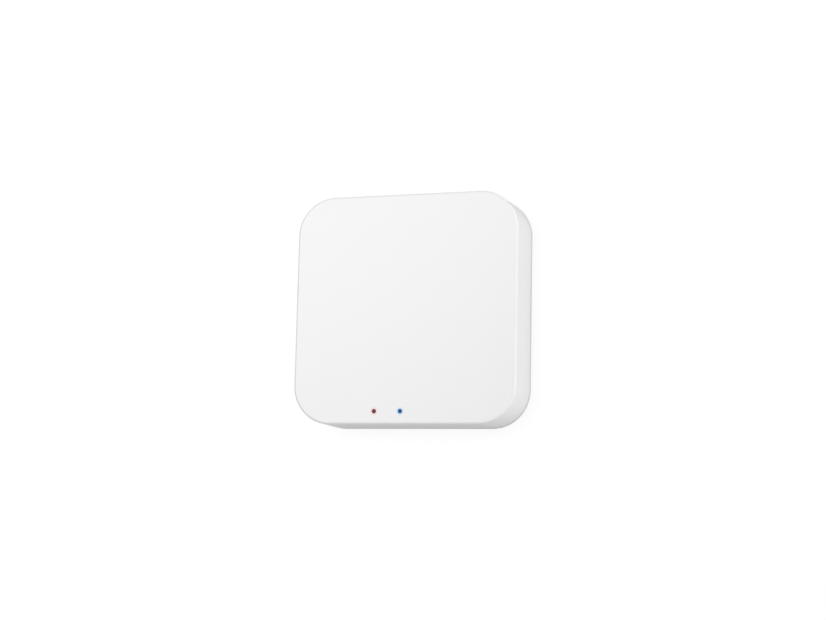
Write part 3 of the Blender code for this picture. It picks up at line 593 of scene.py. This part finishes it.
def make_rear_cover():
    cover = slab(
        "cover",
        HALF,
        CORNER,
        COVER_BOTTOM,
        PARTING,
        bottom=REAR_FILLET,
        top=SEAM_ROUND,
        steps=32,
        round=8,
    )
    floor_top = COVER_BOTTOM + WALL
    lip_half, lip_corner = HALF - WALL - 0.15 * MM, 8.25 * MM
    pocket_half, pocket_corner = lip_half - 0.8 * MM, 7.45 * MM
    lip = slab("lip", lip_half, lip_corner, PARTING - 0.4 * MM, cover_high.z)
    pocket = slab("pocket", pocket_half, pocket_corner, floor_top, cover_high.z + MM)
    hooks, slits = snap_hooks(lip_half)

    seat_radius, seat_mouth, seat_depth = 4.1 * MM, 4.3 * MM, 0.6 * MM
    seat = [(0, COVER_BOTTOM + seat_depth), (seat_radius, COVER_BOTTOM + seat_depth)]
    seat += [(seat_radius, COVER_BOTTOM + 0.15 * MM), (seat_mouth, COVER_BOTTOM - 0.05 * MM)]
    seat += [(seat_mouth, 0), (0, 0)]
    recesses = [turned("recess", seat, 64, (foot.x, foot.y, 0)) for foot in FEET.values()]
    play = 0.2 * MM
    label_half = ((label_high.x - label_low.x) / 2 + play, (label_high.y - label_low.y) / 2 + play)
    label_seat_top = COVER_BOTTOM + 0.2 * MM
    recesses.append(slab("label_recess", label_half, 1.5 * MM, 0, label_seat_top, steps=8))
    gate = rod("gate", MM, 0, COVER_BOTTOM + 0.12 * MM, location=(0, 20 * MM, 0))
    rib_size, rib_low = (MM, 8 * MM, 3.55 * MM), 1.8 * MM
    ribs = [
        block("rib", rib_size, (side * 2.5 * MM, 22 * MM, rib_low + rib_size[2] / 2))
        for side in (-1, 1)
    ]
    mesh = carve(
        cover,
        ("UNION", [lip]),
        ("DIFFERENCE", [pocket]),
        ("UNION", hooks),
        ("DIFFERENCE", slits),
        ("UNION", ribs),
        ("DIFFERENCE", [*recesses, gate]),
    )
    finish_piece("rear_cover_skin", mesh, COVER_PLASTIC_PAINTED_SHADE, ["rear_cover"])


def make_feet():
    """Moulded pads: a rounded rim, and a shallow dished ring in the face they stand on."""
    radius, height, rim = 4.0 * MM, foot_high.z, 0.4 * MM
    profile = [(0, height), (radius, height)]
    profile += arc(radius - rim, rim, rim, 0, -90)
    profile += [(2.9 * MM, 0), (2.75 * MM, 0.07 * MM), (2.0 * MM, 0.09 * MM), (1.85 * MM, 0)]
    profile.append((0, 0))
    for node, centre in FEET.items():
        mesh = carve(turned("pad", profile, 72, (centre.x, centre.y, 0)))
        finish_piece(node + "_pad", mesh, RUBBER, [node], angle=25)


def make_label():
    half = ((label_high.x - label_low.x) / 2, (label_high.y - label_low.y) / 2)
    low, high = label_low.z, label_high.z
    film = slab("film", half, 1.3 * MM, low, high, steps=12, bottom=0.03 * MM, round=2)
    finish_piece("rear_label_film", carve(film), LABEL, ["rear_label"])


def make_light_pipes():
    """Stepped pipes: a rounded tip in the face, a collar behind it, and a stem down to the LED."""
    tip, tip_round, stem = 0.5 * MM, 0.12 * MM, 0.8 * MM
    collar, collar_chamfer = 1.2 * MM, 0.1 * MM
    collar_top = INSIDE_TOP - 0.05 * MM
    for colour, centre in LIGHTS.items():
        node = f"{colour}_light_pipe"
        low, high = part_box(node)
        profile = [(0, high.z - 0.02 * MM)]
        profile += arc(tip - tip_round, high.z - 0.14 * MM, tip_round, 90, 0, 6)
        profile += [(tip, collar_top), (collar - collar_chamfer, collar_top)]
        profile += [(collar, collar_top - collar_chamfer), (collar, collar_top - 0.9 * MM)]
        profile += [(collar - collar_chamfer, collar_top - MM), (stem, collar_top - MM)]
        profile += [(stem, low.z), (0, low.z)]
        mesh = carve(turned("pipe", profile, 48, (centre.x, centre.y, 0)))
        finish_piece(node + "_lens", mesh, LENSES[colour], [node])


# ---------------------------------------------------------------- inlet and reset button


def make_reset_cap():
    """A cap with a dished face and a rounded rim, a flange behind the wall, and a stem."""
    outside, back = half_at(RESET.z), cap_low.y
    flange_front = outside - WALL - 0.05 * MM
    flange_back = flange_front - 0.8 * MM
    cap, rim, flange, stem = 1.5 * MM, 0.22 * MM, 2.2 * MM, MM
    profile = [(0, outside - 0.10 * MM), (0.45 * MM, outside - 0.085 * MM)]
    profile += [(0.85 * MM, outside - 0.03 * MM), (1.05 * MM, outside)]
    profile += arc(cap - rim, outside - rim, rim, 90, 0)
    profile += [(cap, flange_front), (flange, flange_front), (flange, flange_back)]
    profile += [(stem, flange_back), (stem, back), (0, back)]
    profile = [(r, h - back) for r, h in profile]
    finish_piece(
        "reset_button_cap_skin",
        carve(turned("cap", profile, 72, (RESET.x, back, RESET.z), ALONG_Y)),
        BUTTON_PLASTIC,
        ["reset_button_cap"],
        body="reset_button",
        angle=28,
    )


def inlet_outline(inset):
    """The inlet's rounded outline, moved inward: wide at the top, its lower corners cut off."""
    half, height = 3.75 * MM - inset, 1.3 * MM - inset
    cut = MM - 0.4 * inset
    corners = [
        (-half, height),
        (-half, cut - height),
        (cut - half, -height),
        (half - cut, -height),
        (half, cut - height),
        (half, height),
    ]
    radius = max(0.12 * MM, 0.35 * MM - inset)
    points, steps = [], 4
    for i, corner in enumerate(corners):
        here = Vector(corner)
        before = (Vector(corners[i - 1]) - here).normalized()
        after = (Vector(corners[(i + 1) % len(corners)]) - here).normalized()
        a, b = here + before * radius, here + after * radius
        for step in range(steps + 1):
            t = step / steps
            points.append(((1 - t) ** 2 * a + 2 * t * (1 - t) * here + t * t * b).to_tuple())
    return points


def make_inlet_shell():
    """Folded sheet with two legs, and two spring tongues in its top, cut free on three sides."""
    mouth, depth, top = usb_high.y, usb_high.y - usb_low.y, usb_high.z
    face = (math.radians(90), 0, math.radians(180))
    centre = (0, mouth - depth / 2, USB_Z)
    outlines = [inlet_outline(0), inlet_outline(0.25 * MM)]
    shell = flat("usb", outlines, depth, centre, face, bevel=0.05 * MM)
    leg_size = (0.7 * MM, 1.4 * MM, USB_Z - usb_low.z)
    slit, tongue_length, half_tongue = 0.12 * MM, 1.9 * MM, 0.42 * MM
    end_size = (2 * half_tongue + slit, slit, MM)
    legs, cuts = [], []
    for x in (-1, 1):
        at = (x * 3.75 * MM, usb_low.y + 2 * MM, (usb_low.z + USB_Z) / 2)
        legs.append(block("leg", leg_size, at, bevel=0.08 * MM))
        tongue_x, tongue_y = x * 1.5 * MM, mouth - 2.6 * MM
        for dx in (-half_tongue, half_tongue):
            cuts.append(block("slit", (slit, tongue_length, MM), (tongue_x + dx, tongue_y, top)))
        cuts.append(block("slit", end_size, (tongue_x, tongue_y - tongue_length / 2, top)))
    mesh = carve(shell, ("UNION", legs), ("DIFFERENCE", cuts))
    finish_piece("usb_shell_sheet", mesh, PLATED, ["usb_shell"])


def make_inlet_moulding():
    low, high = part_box("usb_insulator")
    rear = usb_low.y
    base_depth = 1.2 * MM
    base_size = (high.x - low.x, base_depth, high.z - low.z)
    base_at = (0, rear + base_depth / 2 + 0.05 * MM, (low.z + high.z) / 2)
    base = block("base", base_size, base_at, bevel=0.06 * MM)
    length, thick = usb_high.y - usb_low.y - 1.5 * MM, 0.6 * MM
    tongue_at = (0, rear + 0.6 * MM + length / 2, low.z + thick / 2)
    tongue = block("tongue", (3.7 * MM, length, thick), tongue_at, bevel=0.12 * MM)
    mesh = carve(base, ("UNION", [tongue]))
    finish_piece("usb_tongue_moulding", mesh, BLACK, ["usb_insulator"])


def make_inlet_contacts():
    """Bent strips: along the tongue, down behind the moulding, and out along the board."""
    thick = 0.12 * MM
    bend = usb_low.y - 0.25 * MM
    sideways = (math.radians(90), 0, math.radians(90))
    for index in range(1, 6):
        node = f"usb_contact_{index}"
        low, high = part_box(node)
        tip, foot, top = high.y, low.y, high.z
        outline = [(tip, top - 0.05 * MM), (tip - 0.2 * MM, top - thick), (bend, top - thick)]
        outline += [(bend - thick, low.z), (foot, low.z), (foot, low.z + thick)]
        outline += [(bend - 2 * thick, low.z + thick), (bend - thick, top), (tip - 0.1 * MM, top)]
        at = ((low.x + high.x) / 2, 0, 0)
        strip = flat("strip", [outline], high.x - low.x, at, sideways, bevel=0.02 * MM)
        finish_piece(node + "_strip", carve(strip), GOLD, [node])


make_front_shell()
make_rear_cover()
make_feet()
make_label()
make_light_pipes()
make_reset_cap()
make_inlet_shell()
make_inlet_moulding()
make_inlet_contacts()

# ---------------------------------------------------------------- pieces that keep their CAD shape

KEPT_MATERIALS = {
    "main_board": GREEN_BOARD,
    "wifi_module_board": BLACK_BOARD,
    "zigbee_module_board": BLACK_BOARD,
    "wifi_shield_can": CAN_STEEL,
    "zigbee_shield_can": CAN_STEEL,
    "wifi_chip": CHIP_BLACK,
    "zigbee_chip": CHIP_BLACK,
    "input_capacitor_base": BLACK,
    "output_capacitor_base": BLACK,
    "input_capacitor_can": ALUMINIUM,
    "output_capacitor_can": ALUMINIUM,
    "voltage_regulator": CHIP_BLACK,
    "regulator_tab": PLATED,
    "input_diode": CHIP_BLACK,
    "input_fuse": FUSE_GREEN,
    "ferrite_bead": CHIP_BLACK,
    "red_led_resistor": CHIP_BLACK,
    "blue_led_resistor": CHIP_BLACK,
    "reset_resistor": CHIP_BLACK,
    "wifi_capacitor_1": CERAMIC,
    "wifi_capacitor_2": CERAMIC,
    "zigbee_capacitor_1": CERAMIC,
    "zigbee_capacitor_2": CERAMIC,
    "red_led": LED_RESIN,
    "blue_led": LED_RESIN,
    "reset_switch_base": BLACK,
    "reset_switch_cover": PLATED,
    "reset_switch_dome": PLATED,
    "reset_switch_plunger": BLACK,
    "board_screw_1": SCREW_STEEL,
    "board_screw_2": SCREW_STEEL,
    "board_screw_3": SCREW_STEEL,
    "board_screw_4": SCREW_STEEL,
}
for node, mat in KEPT_MATERIALS.items():
    for kept_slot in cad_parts[node].material_slots:
        kept_slot.material = mat

# ---------------------------------------------------------------- floor, light and camera


FLOOR_RADIUS = 6.0
SHADE_START, SHADE_END = -1 * MM, 4 * MM  # of the floor's shade, outward from the hub's outline
FLOOR_LIGHT = (0.20, 0.60)  # the floor's glow in the shade and beyond it, as it lights the hub
FLOOR_SEEN = (0.90, 0.93)  # the same, as it is seen
SKY_DIM, SKY_BRIGHT, SKY_SEEN = 0.27, 2.12, 0.97
SIDE_WALL = Vector((0.95, -0.22, 0.18))  # toward the broad bright wall on the +X side
AIM = Vector((0, 0, 8 * MM))  # where the lamps point


def make_floor():
    bm = bmesh.new()
    bmesh.ops.create_circle(bm, cap_ends=True, segments=96, radius=FLOOR_RADIUS)
    floor = loose("floor", mesh_from(bm, "floor"))
    mat = bpy.data.materials.new("pale_floor")
    mat.use_nodes = True
    nodes, links = mat.node_tree.nodes, mat.node_tree.links
    shader = nodes["Principled BSDF"]
    shader.inputs["Base Color"].default_value = (0.10, 0.10, 0.10, 1)
    shader.inputs["Roughness"].default_value = 0.9
    shader.inputs["Specular IOR Level"].default_value = 0.0
    shader.inputs["Emission Color"].default_value = (1, 1, 1, 1)

    # the hub's outline is everywhere CORNER away from a smaller square, so the distance from that
    # square tells how far a point is from the hub
    where = nodes.new("ShaderNodeTexCoord")
    fold = nodes.new("ShaderNodeVectorMath")
    fold.operation = "ABSOLUTE"
    inward = nodes.new("ShaderNodeVectorMath")
    inward.operation = "SUBTRACT"
    inward.inputs[1].default_value = (HALF - CORNER, HALF - CORNER, 0)
    clip = nodes.new("ShaderNodeVectorMath")
    clip.operation = "MAXIMUM"
    clip.inputs[1].default_value = (0, 0, 0)
    reach = nodes.new("ShaderNodeVectorMath")
    reach.operation = "LENGTH"
    shade = nodes.new("ShaderNodeMapRange")
    shade.interpolation_type = "SMOOTHSTEP"
    shade.inputs["From Min"].default_value = CORNER + SHADE_START
    shade.inputs["From Max"].default_value = CORNER + SHADE_END
    links.new(where.outputs["Object"], fold.inputs[0])
    links.new(fold.outputs[0], inward.inputs[0])
    links.new(inward.outputs[0], clip.inputs[0])
    links.new(clip.outputs[0], reach.inputs[0])
    links.new(reach.outputs["Value"], shade.inputs["Value"])

    path = nodes.new("ShaderNodeLightPath")
    shine = nodes.new("ShaderNodeMix")
    for socket, (near, far) in (("A", FLOOR_LIGHT), ("B", FLOOR_SEEN)):
        level = nodes.new("ShaderNodeMix")
        level.inputs["A"].default_value = near
        level.inputs["B"].default_value = far
        links.new(shade.outputs["Result"], level.inputs["Factor"])
        links.new(level.outputs["Result"], shine.inputs[socket])
    links.new(path.outputs["Is Camera Ray"], shine.inputs["Factor"])
    links.new(shine.outputs["Result"], shader.inputs["Emission Strength"])
    floor.data.materials.append(mat)


def softbox(name, position, side, power):
    """A square soft lamp that points at the hub."""
    light = bpy.data.lights.new(name, "AREA")
    light.shape = "RECTANGLE"
    light.size = light.size_y = side
    light.energy = power
    lamp = bpy.data.objects.new(name, light)
    bpy.context.scene.collection.objects.link(lamp)
    lamp.location = position
    lamp.rotation_euler = (AIM - Vector(position)).to_track_quat("-Z", "Y").to_euler()


def make_world():
    """A dim even sky with a broad bright wall to one side, and a pale backdrop for the camera."""
    world = bpy.data.worlds.new("studio")
    bpy.context.scene.world = world
    world.use_nodes = True
    nodes, links = world.node_tree.nodes, world.node_tree.links
    sky = nodes["Background"]
    sky.inputs["Color"].default_value = (1, 1, 1, 1)
    where = nodes.new("ShaderNodeTexCoord")
    facing = nodes.new("ShaderNodeVectorMath")
    facing.operation = "DOT_PRODUCT"
    facing.inputs[1].default_value = SIDE_WALL.normalized()
    front = nodes.new("ShaderNodeMath")
    front.operation = "MAXIMUM"
    front.inputs[1].default_value = 0
    cubed = nodes.new("ShaderNodeMath")
    cubed.operation = "POWER"
    cubed.inputs[1].default_value = 3
    level = nodes.new("ShaderNodeMapRange")
    level.inputs["To Min"].default_value = SKY_DIM
    level.inputs["To Max"].default_value = SKY_BRIGHT
    links.new(where.outputs["Generated"], facing.inputs[0])
    links.new(facing.outputs["Value"], front.inputs[0])
    links.new(front.outputs[0], cubed.inputs[0])
    links.new(cubed.outputs[0], level.inputs["Value"])
    links.new(level.outputs["Result"], sky.inputs["Strength"])
    seen = nodes.new("ShaderNodeBackground")
    seen.inputs["Color"].default_value = (1, 1, 1, 1)
    seen.inputs["Strength"].default_value = SKY_SEEN
    path = nodes.new("ShaderNodeLightPath")
    mix = nodes.new("ShaderNodeMixShader")
    links.new(path.outputs["Is Camera Ray"], mix.inputs["Fac"])
    links.new(sky.outputs["Background"], mix.inputs[1])
    links.new(seen.outputs["Background"], mix.inputs[2])
    links.new(mix.outputs["Shader"], nodes["World Output"].inputs["Surface"])


def make_camera():
    """A camera to the right of the face's normal and a little below it, slightly rolled."""
    camera = bpy.data.cameras.new("camera")
    camera.lens = 66.66
    camera.sensor_width = 36.0
    camera.clip_start = 0.01
    holder = bpy.data.objects.new("camera", camera)
    bpy.context.scene.collection.objects.link(holder)
    right = Vector((0.9515, 0.0211, -0.3069)).normalized()
    back = Vector((0.3067, -0.139, 0.9416)).normalized()
    up = back.cross(right).normalized()
    right = up.cross(back)
    place = (122.23 * MM, -54.91 * MM, 383.88 * MM)
    rows = [(right[i], up[i], back[i], place[i]) for i in range(3)]
    holder.matrix_world = Matrix((*rows, (0, 0, 0, 1)))
    bpy.context.scene.camera = holder


make_floor()
softbox("key", (-0.19, 0.13, 0.46), 0.35, 1.37)
softbox("side", (0.36, 0.22, 0.21), 0.12, 0.34)
make_world()
make_camera()
bpy.context.scene.view_settings.view_transform = "Standard"
